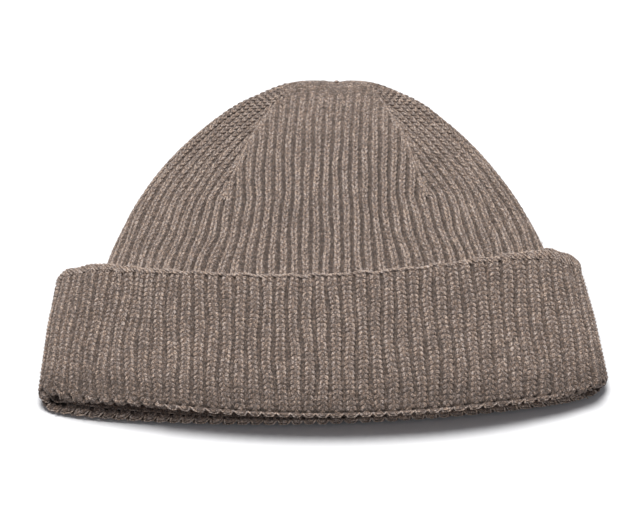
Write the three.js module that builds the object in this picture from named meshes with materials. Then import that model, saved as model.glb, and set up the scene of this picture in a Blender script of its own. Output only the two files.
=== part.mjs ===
import * as THREE from 'three';

// A one-by-one rib knit hat with a turned-up cuff, lying flat on its back. All sizes are in millimetres.
// X runs across the hat, the open hem looks to -Y, the gathered top to +Y, and the floor is z = 0.
// "along" is the distance from the hem's fold towards the top, measured on the hat's centre line.

// The whole hat: its length from the hem's fold to the gathered top, about half its width at the hem,
// and how thick its side folds lie
const HAT_LENGTH = 203.6;
const HALF_WIDTH = 120;
const SIDE_FOLD = 13.6;

// The knit
const GORES = 4;
const WALL = 2.8;
const RIB_DEPTH = 1.0;
const SCALLOP_DEPTH = 1.7;
const LAYER_GAP = 0.3;
const LAYER = WALL + LAYER_GAP;

// The cuff
const CUFF_HEIGHT = 71;
const WELT_HEIGHT = 5;
const FOLD_SIZE = WALL + LAYER;
const FOLD_RADIUS = FOLD_SIZE / 2;
const MID_CUFF = CUFF_HEIGHT / 2;
const RIM_LEVEL = CUFF_HEIGHT + LAYER_GAP;

// How the hem lies: its front reaches out over the mouth, and its back is tucked in under it,
// a little further on the right
const HEM_LEAD = 5.4;
const HEM_TUCK = 3.5;
const HEM_SKEW = 0.05;

// The dome of the upper face, flatter in its middle with a higher power, and how finely a section is drawn
const DOME_POWER = 3;
const OUTLINE_STEPS = 160;

const KNIT_COLOUR = 0x85766d;
const KNIT_ROUGHNESS = 0.95;

// The tables below hold shares, so that they follow the hat's named sizes: "along" of the stretch of the hat
// that a table covers, and these columns of the size beside them. Other columns are plain numbers.
const SHARE_OF = {
  left: HALF_WIDTH,
  right: HALF_WIDTH,
  sag: HALF_WIDTH,
  corner: HALF_WIDTH,
  side: SIDE_FOLD,
  fold: SIDE_FOLD,
  lift: SIDE_FOLD,
  arch: SIDE_FOLD,
};

const mix = (low, high, share) => low + (high - low) * share;

/** A table of shares in millimetres, its rows lying between two places along the hat. */
function sized(table, from, to) {
  return table.map((row) => {
    const made = { ...row, along: mix(from, to, row.along) };
    for (const column of Object.keys(SHARE_OF)) {
      if (column in row) made[column] = row[column] * SHARE_OF[column];
    }
    return made;
  });
}

// The cuff's outer face: how far it reaches to each side, how thick its side folds lie,
// and how slack it hangs from there to the band, where 1 is round and more is straighter
const CUFF = sized([
  { along: 0, left: 0.9883, right: 1.0133, side: 0.941, slack: 1 },
  { along: 0.5, left: 0.9817, right: 0.99, side: 0.971, slack: 1.1 },
  { along: 1, left: 0.965, right: 0.9567, side: 0.588, slack: 1.25 },
], 0, CUFF_HEIGHT);

// The band inside the cuff, up to the level of the cuff's top edge. At the hem it fills the cuff's fold.
const BAND = sized([
  { along: 0.5, left: 0.875, right: 0.9, fold: 0.706, arch: 0.265 },
  { along: 1, left: 0.7875, right: 0.8292, fold: 0.993, arch: 0.11 },
], 0, RIM_LEVEL);
const HEM_ARCH = 5;
const RIM_HEIGHT = CUFF[0].side + HEM_ARCH;

// The crown above the cuff. Two ribs end in each gore from one row to the next, once the narrowing starts.
const CROWN = sized([
  { along: 0.1131, left: 0.7708, right: 0.8125, lift: 0.088, fold: 1, arch: 0.25, ribs: 21 },
  { along: 0.2262, left: 0.7425, right: 0.7842, lift: 0, fold: 1, arch: 0.368, ribs: 21 },
  { along: 0.3431, left: 0.7033, right: 0.745, lift: 0, fold: 1, arch: 0.397, ribs: 21 },
  { along: 0.4879, left: 0.6383, right: 0.6817, lift: 0, fold: 0.985, arch: 0.368, ribs: 19 },
  { along: 0.6063, left: 0.565, right: 0.6167, lift: 0, fold: 0.971, arch: 0.324, ribs: 17 },
  { along: 0.7014, left: 0.4917, right: 0.55, lift: 0, fold: 0.956, arch: 0.265, ribs: 15 },
  { along: 0.7858, left: 0.4125, right: 0.4783, lift: 0, fold: 0.941, arch: 0.206, ribs: 13 },
  { along: 0.8522, left: 0.3375, right: 0.415, lift: 0, fold: 0.926, arch: 0.147, ribs: 11 },
  { along: 0.9027, left: 0.2625, right: 0.3467, lift: 0.015, fold: 0.882, arch: 0.103, ribs: 9 },
  { along: 0.9449, left: 0.1917, right: 0.2767, lift: 0.051, fold: 0.809, arch: 0.066, ribs: 7 },
  { along: 0.9759, left: 0.1167, right: 0.2083, lift: 0.14, fold: 0.618, arch: 0.029, ribs: 5 },
  { along: 0.9925, left: 0.0333, right: 0.1333, lift: 0.257, fold: 0.368, arch: 0, ribs: 3 },
], CUFF_HEIGHT, HAT_LENGTH);
const GATHER = { along: HAT_LENGTH, across: 0.054 * HALF_WIDTH, up: 0.456 * SIDE_FOLD };
const RIBS_PER_GORE = CROWN[0].ribs;

// The bend of the courses: how far the sides lie up the hat from the middle, how much more so on the right,
// and how far the cuff's corners draw in. Its first rows lie on the cuff and its last ones above it.
const CUFF_BEND = [
  { along: 0, sag: 0.105, lean: -0.012, corner: 0.045 },
  { along: 0.5, sag: 0.1375, lean: 0.024, corner: 0 },
  { along: 1, sag: 0.1625, lean: 0.045, corner: -0.025 },
];
const CROWN_BEND = [
  { along: 0.1131, sag: 0.1375, lean: 0.036, corner: 0 },
  { along: 0.3695, sag: 0.075, lean: 0.02, corner: 0 },
  { along: 0.6712, sag: 0.025, lean: 0.005, corner: 0 },
  { along: 1, sag: 0, lean: 0, corner: 0 },
];
const BEND = [...sized(CUFF_BEND, 0, CUFF_HEIGHT), ...sized(CROWN_BEND, CUFF_HEIGHT, HAT_LENGTH)];
const CORNER_POWER = 16;

// The hem's fold, turned from the hat's inside (1) to its outside (0), and each step's share of the scallop
const FOLD_STEPS = [
  { turn: 1, shape: 'pair', scallop: 0 },
  { turn: 0.75, shape: 'flat_topped', scallop: 0.5 },
  { turn: 0.45, shape: 'flat_topped', scallop: 1 },
  { turn: 0.2, shape: 'flat_topped', scallop: 0.9 },
];

// The welt at the cuff's top edge: shares of its height below the edge, and depths under the crests
const WELT_STEPS = [
  { below: 1, sunk: 0.8 },
  { below: 0.6, sunk: 0 },
  { below: 0.15, sunk: 0.3 },
  { below: 0, sunk: 1.4 },
  { below: 0.15, sunk: WALL },
];

// The points that draw one rib, from its groove across its crest: a share of the rib, and sunk or not
const RIB_SHAPES = {
  smooth: [{ share: 0, sunk: false }],
  pair: [{ share: 0, sunk: false }, { share: 0.5, sunk: false }],
  pointed: [{ share: 0, sunk: true }, { share: 0.5, sunk: false }],
  flat_topped: [{ share: 0, sunk: true }, { share: 0.25, sunk: false }, { share: 0.75, sunk: false }],
};

/** A row of a table between two of its rows, with every column mixed. */
function rowAt(table, along) {
  const last = table.length - 1;
  let upper = table.findIndex((row) => row.along >= along);
  upper = upper < 0 ? last : Math.max(1, upper);
  const low = table[upper - 1];
  const high = table[upper];
  const share = Math.min(1, Math.max(0, (along - low.along) / (high.along - low.along)));
  const row = {};
  for (const column of Object.keys(low)) row[column] = mix(low[column], high[column], share);
  return row;
}

/** Moves a point of the straight hat to where it lies, its courses bent and its hem's two faces apart. */
function layDown(across, along, up) {
  const { sag, lean, corner } = rowAt(BEND, along);
  const side = Math.abs(across) / HALF_WIDTH;
  const bend = sag * side ** 2 + lean * across + corner * side ** CORNER_POWER;
  const height = up / RIM_HEIGHT;
  const middle = 1 - side ** 2;
  const hemShift = (HEM_TUCK * middle + HEM_SKEW * across) * (1 - height) - HEM_LEAD * middle * height;
  return [across, along + bend + hemShift * Math.max(0, 1 - along / CUFF_HEIGHT), up];
}

/** The band's rows: the first stands in the cuff's fold, so it is a layer inside the cuff's first row. */
function bandRows() {
  const hem = CUFF[0];
  const inFold = {
    along: FOLD_RADIUS + LAYER_GAP,
    left: hem.left - LAYER,
    right: hem.right - LAYER,
    fold: hem.side - 2 * LAYER,
    arch: HEM_ARCH,
  };
  return [inFold, ...BAND].map((row) => ({ ...row, lift: LAYER, ribs: RIBS_PER_GORE }));
}

/** The cross-section of a plain row: flat below, round at the sides and domed above. */
function sectionOf(row) {
  return {
    left: row.left,
    right: row.right,
    bottom: row.lift,
    side: row.fold,
    top: row.lift + row.fold,
    arch: row.arch,
    shelf: { left: row.left - row.fold / 2, right: row.right - row.fold / 2 },
    slack: 1,
  };
}

/** The cuff's cross-section: thin at its own sides, and climbing from there over the band that lies in it. */
function cuffSectionAt(along) {
  const cuff = rowAt(CUFF, along);
  const inner = sectionOf(rowAt(bandRows(), along));
  return {
    ...inner,
    left: cuff.left,
    right: cuff.right,
    bottom: 0,
    side: cuff.side,
    top: inner.top + LAYER,
    slack: cuff.slack,
  };
}

/** A cross-section moved inwards by a depth on every side. */
function inset(section, depth) {
  return {
    ...section,
    left: section.left - depth,
    right: section.right - depth,
    bottom: section.bottom + depth,
    side: section.side - 2 * depth,
    top: section.top - depth,
  };
}

/** A cross-section's two halves as fine polylines, from the right side fold over the front and back below. */
function outlineOf(section) {
  const { left, right, bottom, side, top, arch, shelf, slack } = section;
  const level = bottom + side / 2;
  const shares = Array.from({ length: OUTLINE_STEPS + 1 }, (_, step) => step / OUTLINE_STEPS);
  const centre = (shelf.right - shelf.left) / 2;
  const reach = (shelf.right + shelf.left) / 2;
  const overTop = (across) => {
    const offCentre = Math.abs(across - centre) / reach;
    return [across, top + arch * Math.cos((Math.PI / 2) * offCentre ** DOME_POWER) ** 2];
  };
  const turnOf = (share) => (share * Math.PI) / 2;
  const climb = (from, to, share) => [
    mix(to, from, Math.cos(turnOf(share)) ** slack),
    mix(level, top, Math.sin(turnOf(share)) ** slack),
  ];
  const dip = (from, to, share) => [
    mix(to, from, Math.cos(turnOf(share))),
    mix(level, bottom, Math.sin(turnOf(share))),
  ];
  const backwards = [...shares].reverse();
  const front = [
    ...shares.map((share) => climb(right, shelf.right, share)),
    ...shares.map((share) => overTop(mix(shelf.right, -shelf.left, share))),
    ...backwards.map((share) => climb(-left, -shelf.left, share)),
  ];
  const back = [
    ...shares.map((share) => dip(-left, side / 2 - left, share)),
    ...shares.map((share) => [mix(side / 2 - left, right - side / 2, share), bottom]),
    ...backwards.map((share) => dip(right, right - side / 2, share)),
  ];
  return [front, back].map(withLengths);
}

/** Adds the running length to each point of a polyline. */
function withLengths(points) {
  let length = 0;
  return points.map(([across, up], index) => {
    if (index > 0) length += Math.hypot(across - points[index - 1][0], up - points[index - 1][1]);
    return { across, up, length };
  });
}

/** The point at a share of the way round an outline, where 0 is the right side fold and 0.5 the left. */
function pointRound(outline, turn) {
  const whole = turn - Math.floor(turn);
  const half = outline[whole < 0.5 ? 0 : 1];
  const wanted = (whole % 0.5) * 2 * half[half.length - 1].length;
  let low = 0;
  let high = half.length - 1;
  while (high - low > 1) {
    const middle = (low + high) >> 1;
    if (half[middle].length <= wanted) low = middle;
    else high = middle;
  }
  const share = (wanted - half[low].length) / (half[high].length - half[low].length || 1);
  return [mix(half[low].across, half[high].across, share), mix(half[low].up, half[high].up, share)];
}

/** A closed skin that grows ring by ring. Each ring is a set of gores, and each gore a number of ribs. */
class Skin {
  vertices = [];
  triangles = [];
  rings = [];

  /** Adds a ring whose crests and grooves each have a section and a place along the hat. */
  addRing(ribs, shape, crest, groove = crest) {
    const outlines = { crest: outlineOf(crest.section), groove: outlineOf(groove.section) };
    const first = this.vertices.length;
    for (let gore = 0; gore < GORES; gore += 1) {
      for (let rib = 0; rib < ribs; rib += 1) {
        for (const { share, sunk } of RIB_SHAPES[shape]) {
          const turn = (gore - 0.5 + (rib + share) / ribs) / GORES;
          const level = sunk ? groove : crest;
          const [across, up] = pointRound(sunk ? outlines.groove : outlines.crest, turn);
          this.vertices.push(layDown(across, level.along, up));
        }
      }
    }
    const perRib = RIB_SHAPES[shape].length;
    this.rings.push({ first, ribs, perRib, count: GORES * ribs * perRib });
  }

  /** Adds the single point where the ribs are drawn together. */
  addPole(across, along, up) {
    this.rings.push({ first: this.vertices.length, ribs: 0, perRib: 1, count: 1 });
    this.vertices.push(layDown(across, along, up));
  }

  /** The corners of one gore of a ring between two ribs, the end of the last one included. */
  cell(ring, gore, fromRib, toRib) {
    const start = gore * ring.ribs * ring.perRib;
    const corners = [];
    for (let step = fromRib * ring.perRib; step <= toRib * ring.perRib; step += 1) {
      corners.push(ring.first + ((start + step) % ring.count));
    }
    return corners;
  }

  /** Fills the strip between two rows of corners, always stepping on along the row that lags. */
  zip(low, high) {
    let below = 0;
    let above = 0;
    const lowSteps = low.length - 1;
    const highSteps = high.length - 1;
    while (below < lowSteps || above < highSteps) {
      const nextBelow = below < lowSteps ? (below + 1) / lowSteps : Infinity;
      const nextAbove = above < highSteps ? (above + 1) / highSteps : Infinity;
      if (nextBelow <= nextAbove) {
        this.triangles.push(low[below], high[above], low[below + 1]);
        below += 1;
      } else {
        this.triangles.push(low[below], high[above], high[above + 1]);
        above += 1;
      }
    }
  }

  /** Joins two rings gore by gore. Ribs that only one of them has end on the line between two gores. */
  join(low, high) {
    const shared = Math.min(low.ribs, high.ribs);
    const lowExtra = Math.floor((low.ribs - shared) / 2);
    const highExtra = Math.floor((high.ribs - shared) / 2);
    for (let gore = 0; gore < GORES; gore += 1) {
      this.zip(this.cell(low, gore, 0, lowExtra), this.cell(high, gore, 0, highExtra));
      for (let rib = 0; rib < shared; rib += 1) {
        this.zip(
          this.cell(low, gore, lowExtra + rib, lowExtra + rib + 1),
          this.cell(high, gore, highExtra + rib, highExtra + rib + 1),
        );
      }
      this.zip(
        this.cell(low, gore, lowExtra + shared, low.ribs),
        this.cell(high, gore, highExtra + shared, high.ribs),
      );
    }
  }

  /** The finished skin as a geometry, closed back to its first ring if asked. */
  geometry(closed) {
    for (let ring = 1; ring < this.rings.length; ring += 1) this.join(this.rings[ring - 1], this.rings[ring]);
    if (closed) this.join(this.rings[this.rings.length - 1], this.rings[0]);
    const geometry = new THREE.BufferGeometry();
    geometry.setAttribute('position', new THREE.Float32BufferAttribute(this.vertices.flat(), 3));
    geometry.setIndex(this.triangles);
    return geometry;
  }
}

/** The inner face's row under an outer row, a wall further in, measured square to the outline. */
function insideOf(row, before, after) {
  const run = after.along - before.along;
  const narrowing = (before.left + before.right - after.left - after.right) / 2;
  const thinning = (before.fold - after.fold) / 2;
  const across = (WALL * run) / Math.hypot(run, narrowing);
  const through = (WALL * run) / Math.hypot(run, thinning);
  const back = before === row ? 0 : (WALL * Math.max(0, narrowing)) / Math.hypot(run, narrowing);
  return {
    ...row,
    along: row.along - back,
    left: row.left - across,
    right: row.right - across,
    lift: row.lift + through,
    fold: row.fold - 2 * through,
  };
}

/** The crown with its band: one wall from the inside of the gathered top to the hem and up the outside. */
function crownGeometry() {
  const rows = [...bandRows(), ...CROWN];
  const skin = new Skin();
  skin.addPole(GATHER.across, GATHER.along - WALL, GATHER.up);
  for (let index = rows.length - 1; index >= 0; index -= 1) {
    const before = rows[Math.max(0, index - 1)];
    const after = rows[Math.min(rows.length - 1, index + 1)];
    const row = insideOf(rows[index], before, after);
    skin.addRing(row.ribs, 'smooth', { along: row.along, section: sectionOf(row) });
  }
  for (const row of rows) {
    const section = sectionOf(row);
    const groove = { along: row.along, section: inset(section, RIB_DEPTH) };
    skin.addRing(row.ribs, 'pointed', { along: row.along, section }, groove);
  }
  skin.addPole(GATHER.across, GATHER.along, GATHER.up);
  return skin.geometry(false);
}

/** The turned-up cuff: one wall round the fold, up its outer face, over the welt and down behind. */
function cuffGeometry() {
  const skin = new Skin();
  const level = (along, depth) => ({ along, section: inset(cuffSectionAt(along), depth) });
  const foldPoint = (turn, radius) => {
    const angle = turn * Math.PI;
    const along = FOLD_RADIUS - radius * Math.sin(angle);
    return level(along, FOLD_RADIUS - radius * Math.cos(angle));
  };
  for (const { turn, shape, scallop } of FOLD_STEPS) {
    const groove = foldPoint(turn, FOLD_RADIUS - scallop * SCALLOP_DEPTH);
    skin.addRing(RIBS_PER_GORE, shape, foldPoint(turn, FOLD_RADIUS), groove);
  }
  for (const along of [FOLD_SIZE, MID_CUFF]) {
    skin.addRing(RIBS_PER_GORE, 'flat_topped', level(along, 0), level(along, RIB_DEPTH));
  }
  for (const { below, sunk } of WELT_STEPS) {
    const shape = sunk < WALL ? 'flat_topped' : 'pair';
    skin.addRing(RIBS_PER_GORE, shape, level(CUFF_HEIGHT - below * WELT_HEIGHT, sunk));
  }
  for (const along of [MID_CUFF, FOLD_RADIUS]) skin.addRing(RIBS_PER_GORE, 'pair', level(along, WALL));
  return skin.geometry(true);
}

function piece(name, geometry) {
  const knit = { color: KNIT_COLOUR, roughness: KNIT_ROUGHNESS, metalness: 0 };
  const material = new THREE.MeshStandardMaterial(knit);
  const mesh = new THREE.Mesh(geometry, material);
  mesh.name = name;
  return mesh;
}

const hat = new THREE.Group();
hat.add(piece('crown', crownGeometry()), piece('cuff', cuffGeometry()));

// The origin is the middle of the hat's footprint
const box = new THREE.Box3().setFromObject(hat);
const middle = box.getCenter(new THREE.Vector3());
for (const mesh of hat.children) mesh.geometry.translate(-middle.x, -middle.y, -box.min.z);

export default hat;
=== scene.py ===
"""A one-by-one rib knit hat with a turned-up cuff, lying flat on its back.

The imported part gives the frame. Each of its two solids is replaced by a finer skin of the same form, and
the stitches of the ribs, the welt and the hem are laid on the skins as grains of yarn. Tables and form sizes
are in millimetres, as a knitter would note them, and meshes are in metres.
"""

from __future__ import annotations

import logging
import math
from dataclasses import dataclass, field, replace
from enum import Enum

import bmesh
import bpy
import numpy as np
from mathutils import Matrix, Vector

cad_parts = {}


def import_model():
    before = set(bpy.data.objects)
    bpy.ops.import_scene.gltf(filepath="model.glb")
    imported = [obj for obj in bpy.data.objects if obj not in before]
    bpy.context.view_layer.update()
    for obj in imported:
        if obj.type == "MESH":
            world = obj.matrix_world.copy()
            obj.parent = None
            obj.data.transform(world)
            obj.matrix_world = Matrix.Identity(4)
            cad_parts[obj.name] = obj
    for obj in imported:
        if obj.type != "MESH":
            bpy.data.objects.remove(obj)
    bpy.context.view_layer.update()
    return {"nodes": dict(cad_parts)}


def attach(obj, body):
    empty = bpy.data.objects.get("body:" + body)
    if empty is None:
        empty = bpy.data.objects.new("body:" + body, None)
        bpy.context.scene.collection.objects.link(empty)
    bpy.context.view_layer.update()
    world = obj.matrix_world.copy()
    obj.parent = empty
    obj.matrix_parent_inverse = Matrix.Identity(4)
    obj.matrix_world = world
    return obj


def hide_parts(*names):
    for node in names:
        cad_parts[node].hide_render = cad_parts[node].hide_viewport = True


log = logging.getLogger("knit_hat")

MM = 0.001
GORES = 4
FULL_GORE = 21
BODY = "root"
FUZZ_DENSITY = 0.13
FUZZ_SEED = 23
STITCH_SEED = 7
FIBRE_SEED = 5
WELT_SEED = 11


def smooth_between(places: np.ndarray, values: np.ndarray, at: np.ndarray) -> np.ndarray:
    """Reads a table's column smoothly between its rows, without swinging past them.

    Args:
        places: where the rows stand, rising.
        values: the column's values in those rows.
        at: the places that are wanted.

    Returns:
        The values there, held at the first and last row outside the table.
    """
    steps = np.diff(places)
    slopes = np.diff(values) / steps
    tangents = np.zeros(len(places))
    tangents[0], tangents[-1] = slopes[0], slopes[-1]
    for row in range(1, len(places) - 1):
        if slopes[row - 1] * slopes[row] > 0:
            before = 2 * steps[row] + steps[row - 1]
            after = steps[row] + 2 * steps[row - 1]
            tangents[row] = (before + after) / (before / slopes[row - 1] + after / slopes[row])
    row = np.clip(np.searchsorted(places, at, side="right") - 1, 0, len(steps) - 1)
    share = np.clip((at - places[row]) / steps[row], 0, 1)
    rest = 1 - share
    return (
        values[row] * (1 + 2 * share) * rest**2
        + tangents[row] * steps[row] * share * rest**2
        + values[row + 1] * share**2 * (3 - 2 * share)
        - tangents[row + 1] * steps[row] * share**2 * rest
    )


class Table:
    """A table with a place along the hat in its first column and named columns after it."""

    def __init__(self, names: str, rows: tuple[tuple[float, ...], ...]) -> None:
        """Keeps the rows as columns.

        Args:
            names: the columns' names, the first of them "along".
            rows: the rows, in rising order of "along".
        """
        columns = np.array(rows, float).T
        self.along = columns[0]
        self.columns = dict(zip(names.split()[1:], columns[1:]))

    def read(self, name: str, at: float | np.ndarray) -> np.ndarray:
        """The named column at one or more places along the hat."""
        return smooth_between(self.along, self.columns[name], np.asarray(at, float))

    def row(self, at: float) -> dict[str, float]:
        """Every column at one place along the hat."""
        return {name: float(self.read(name, at)) for name in self.columns}


@dataclass(frozen=True)
class Section:
    """A cross-section of the hat: flat below, round at its side folds, and climbing to a domed top."""

    left: float
    right: float
    bottom: float
    side: float
    top: float
    arch: float
    shelf_left: float
    shelf_right: float
    slack: float = 1.0
    dome_power: float = 3.0
    steps: int = 90

    def inset(self, depth: float) -> Section:
        """The section moved inwards by a depth on every side."""
        return replace(
            self,
            left=self.left - depth,
            right=self.right - depth,
            bottom=self.bottom + depth,
            side=self.side - 2 * depth,
            top=self.top - depth,
        )

    def halves(self) -> tuple[np.ndarray, np.ndarray]:
        """The front and back halves of the outline, from the right side round.

        Returns:
            The front half and the back half, as rows of across, up and running length.
        """
        quarter = np.linspace(0, math.pi / 2, self.steps)
        cosine, sine = np.cos(quarter), np.sin(quarter)
        cosine[-1] = 0.0
        level = self.bottom + self.side / 2
        climb = level + (self.top - level) * sine**self.slack
        over = np.linspace(self.shelf_right, -self.shelf_left, self.steps)
        reach = (self.shelf_right + self.shelf_left) / 2
        off_centre = np.minimum(1, np.abs(over - (self.shelf_right - self.shelf_left) / 2) / reach)
        dome = self.top + self.arch * np.cos(math.pi / 2 * off_centre**self.dome_power) ** 2
        right = self.shelf_right + (self.right - self.shelf_right) * cosine**self.slack
        left = -self.shelf_left + (self.shelf_left - self.left) * cosine**self.slack
        front = np.vstack(
            [
                np.column_stack([right, climb]),
                np.column_stack([over, dome])[1:],
                np.column_stack([left, climb])[::-1][1:],
            ]
        )
        half = self.side / 2
        dip = level - half * sine
        flat = np.linspace(half - self.left, self.right - half, self.steps)
        back = np.vstack(
            [
                np.column_stack([half - self.left - half * cosine, dip]),
                np.column_stack([flat, np.full(self.steps, self.bottom)])[1:],
                np.column_stack([self.right - half + half * cosine, dip])[::-1][1:],
            ]
        )
        return tuple(
            np.column_stack([points, np.r_[0, np.cumsum(np.hypot(*np.diff(points, axis=0).T))]])
            for points in (front, back)
        )

    def round(self, turn: np.ndarray) -> tuple[np.ndarray, np.ndarray]:
        """Points at shares of the way round, where 0 is the right side fold and 0.5 the left.

        Args:
            turn: the shares, of any whole number of turns.

        Returns:
            How far across and how far up each point is.
        """
        whole = np.mod(turn, 1.0)
        across, up = np.empty_like(whole), np.empty_like(whole)
        for start, half in zip((0.0, 0.5), self.halves()):
            here = (whole >= start) & (whole < start + 0.5)
            wanted = (whole[here] - start) * 2 * half[-1, 2]
            across[here] = np.interp(wanted, half[:, 2], half[:, 0])
            up[here] = np.interp(wanted, half[:, 2], half[:, 1])
        return across, up


@dataclass(frozen=True)
class HatForm:
    """The hat's form as it lies, in millimetres: its cross-sections and how they are laid down."""

    wall: float = 2.8
    layer: float = 3.1
    cuff_height: float = 71.0
    length: float = 203.6
    half_width: float = 120.0
    rim_height: float = 17.8
    hem_lead: float = 5.4
    hem_tuck: float = 3.5
    hem_skew: float = 0.05
    corner_power: float = 16.0
    origin: tuple[float, float] = (-1.333, -99.739)
    cuff: Table = Table(
        "along left right side slack",
        (
            (0, 118.6, 121.6, 12.8, 1),
            (35.5, 117.8, 118.8, 13.2, 1.1),
            (71, 115.8, 114.8, 8, 1.25),
        ),
    )
    crown: Table = Table(
        "along left right lift fold arch ribs",
        (
            (3.25, 115.5, 118.5, 3.1, 6.6, 5, 21),
            (35.65, 105, 108, 3.1, 9.6, 3.6, 21),
            (71.3, 94.5, 99.5, 3.1, 13.5, 1.5, 21),
            (86, 92.5, 97.5, 1.2, 13.6, 3.4, 21),
            (101, 89.1, 94.1, 0, 13.6, 5, 21),
            (116.5, 84.4, 89.4, 0, 13.6, 5.4, 21),
            (135.7, 76.6, 81.8, 0, 13.4, 5, 19),
            (151.4, 67.8, 74, 0, 13.2, 4.4, 17),
            (164, 59, 66, 0, 13, 3.6, 15),
            (175.2, 49.5, 57.4, 0, 12.8, 2.8, 13),
            (184, 40.5, 49.8, 0, 12.6, 2, 11),
            (190.7, 31.5, 41.6, 0.2, 12, 1.4, 9),
            (196.3, 23, 33.2, 0.7, 11, 0.9, 7),
            (200.4, 14, 25, 1.9, 8.4, 0.4, 5),
            (202.6, 4, 16, 3.5, 5, 0, 3),
            (203.6, -6, 7, 5.6, 1.2, 0, 1),
        ),
    )
    bend: Table = Table(
        "along sag lean corner",
        (
            (0, 12.6, -0.012, 5.4),
            (35.5, 16.5, 0.024, 0),
            (71, 19.5, 0.045, -3),
            (86, 16.5, 0.036, 0),
            (120, 9, 0.02, 0),
            (160, 3, 0.005, 0),
            (203.6, 0, 0, 0),
        ),
    )

    def crown_section(self, along: float) -> Section:
        """The outer cross-section of the crown, or of the band inside the cuff.

        Args:
            along: the place along the hat.

        Returns:
            The section there.
        """
        row = self.crown.row(along)
        return Section(
            left=row["left"],
            right=row["right"],
            bottom=row["lift"],
            side=row["fold"],
            top=row["lift"] + row["fold"],
            arch=row["arch"],
            shelf_left=row["left"] - row["fold"] / 2,
            shelf_right=row["right"] - row["fold"] / 2,
        )

    def cuff_section(self, along: float) -> Section:
        """The outer cross-section of the cuff, thin at its sides and climbing over the band inside it.

        Args:
            along: the place along the hat.

        Returns:
            The section there.
        """
        row = self.cuff.row(along)
        inner = self.crown_section(along)
        return replace(
            inner,
            left=row["left"],
            right=row["right"],
            bottom=0.0,
            side=row["side"],
            top=inner.top + self.layer,
            slack=row["slack"],
        )

    def lay_down(self, across: np.ndarray, along: np.ndarray, up: np.ndarray) -> np.ndarray:
        """Points of the straight hat where they lie in the frame, in metres.

        Args:
            across: distances to the right of the hat's centre line.
            along: distances from the hem's fold.
            up: heights above the floor.

        Returns:
            One row of x, y and z a point.
        """
        side = np.abs(across) / self.half_width
        bend = (
            self.bend.read("sag", along) * side**2
            + self.bend.read("lean", along) * across
            + self.bend.read("corner", along) * side**self.corner_power
        )
        height = up / self.rim_height
        middle = 1 - side**2
        tuck = (self.hem_tuck * middle + self.hem_skew * across) * (1 - height)
        shift = tuck - self.hem_lead * middle * height
        placed = along + bend + shift * np.maximum(0, 1 - along / self.cuff_height)
        return np.column_stack([across + self.origin[0], placed + self.origin[1], up]) * MM

    def points(
        self, section: Section, along: np.ndarray, turn: np.ndarray, depth: np.ndarray
    ) -> np.ndarray:
        """Points on or under a cross-section's outline, laid down in the frame.

        Args:
            section: the cross-section that they belong to.
            along: where each stands along the hat.
            turn: its share of the way round.
            depth: how far it lies under the outline.

        Returns:
            One row of x, y and z a point, in metres.
        """
        probe = 0.25
        across, up = section.round(turn)
        deep_across, deep_up = section.inset(probe).round(turn)
        share = depth / probe
        return self.lay_down(
            across + (deep_across - across) * share,
            np.broadcast_to(along, across.shape),
            up + (deep_up - up) * share,
        )


def eased(value: float | np.ndarray, start: float, end: float) -> np.ndarray:
    """Rises softly from 0 to 1 between two places.

    Args:
        value: where it is read.
        start: where it leaves 0.
        end: where it reaches 1. It may lie before the start.

    Returns:
        The share that is reached there.
    """
    share = np.clip((np.asarray(value, float) - start) / (end - start), 0, 1)
    return share**2 * (3 - 2 * share)


@dataclass(frozen=True)
class Fade:
    """An amount that sets in softly between two places along the hat."""

    amount: float
    start: float
    end: float

    def at(self, along: float) -> float:
        """The amount that is reached at a place along the hat."""
        return self.amount * float(eased(along, self.start, self.end))


def part_of_turn(turn: np.ndarray, rise: tuple[float, float], fall: tuple[float, float]) -> np.ndarray:
    """A share that is 1 over a part of the way round and 0 elsewhere.

    Args:
        turn: the shares of the way round.
        rise: where it leaves 0 and where it reaches 1.
        fall: where it reaches 0 again, and where it leaves 1 before that.

    Returns:
        The share at each.
    """
    whole = np.mod(turn, 1)
    return eased(whole, *rise) * eased(whole, *fall)


def round_gores(shares: np.ndarray) -> np.ndarray:
    """The same places of every gore, one gore after another.

    Args:
        shares: the places across a gore, from -0.5 to 0.5.

    Returns:
        Their shares of the way round the hat.
    """
    return np.concatenate([(gore + shares) / GORES for gore in range(GORES)])


def unit(vectors: np.ndarray) -> np.ndarray:
    """The vectors at length one.

    Args:
        vectors: the vectors, in the last axis.

    Returns:
        Vectors of the same directions.
    """
    return vectors / np.maximum(1e-12, np.linalg.norm(vectors, axis=-1, keepdims=True))


def rib_depth(phase: np.ndarray, depth: float | np.ndarray, width: float = 0.78) -> np.ndarray:
    """How far a rib's face lies under its crest.

    Args:
        phase: the place across the ribs, whole at their crests and half in the grooves.
        depth: the grooves' depth.
        width: the share of a rib's pitch that its round face takes.

    Returns:
        The depth under the crests.
    """
    off = np.minimum(1, np.abs(phase - np.round(phase)) * 2 / width)
    return depth * (1 - np.sqrt(np.maximum(0, 1 - off**2.2)))


def add_node(
    tree: bpy.types.NodeTree, kind: str, inputs: dict[int | str, object] | None = None, **settings: object
) -> bpy.types.Node:
    """A new node with its options and inputs.

    Args:
        tree: the tree that it is added to.
        kind: the node's type.
        inputs: what goes into its inputs, by number or name: a socket that is linked to it, or a value.
        settings: its own options.

    Returns:
        The node.
    """
    node = tree.nodes.new(kind)
    for key, value in settings.items():
        setattr(node, key, value)
    for key, value in (inputs or {}).items():
        if isinstance(value, bpy.types.NodeSocket):
            tree.links.new(value, node.inputs[key])
        else:
            node.inputs[key].default_value = value
    return node


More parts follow.
